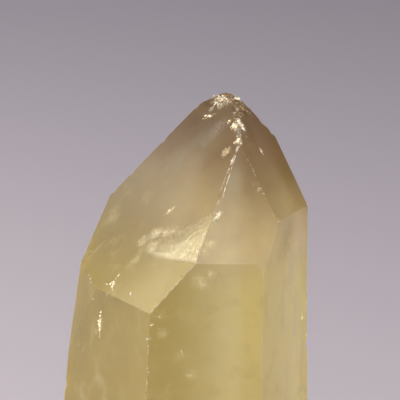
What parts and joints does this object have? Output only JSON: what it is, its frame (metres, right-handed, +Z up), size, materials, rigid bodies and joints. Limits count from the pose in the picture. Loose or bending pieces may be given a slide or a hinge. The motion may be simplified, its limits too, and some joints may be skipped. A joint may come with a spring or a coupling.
{
  "type": "citrine crystal point",
  "caption": "Upright natural quartz point: a tapering six-sided prism with a lopsided pointed top, a chipped tip and a flat sawn foot to stand on.",
  "frame": {"origin": "middle of the flat sawn foot", "axes": "+Z up the crystal toward its tip, -Y out of the front prism face, +X to the right seen from the front"},
  "size_m": [0.0418, 0.0377, 0.0813],
  "materials": {
    "citrine": "clear to slightly cloudy pale yellow quartz, glossy natural faces, smoky near the tip"
  },
  "bodies": {
    "root": {"crystal_point": "citrine"}
  },
  "joints": []
}
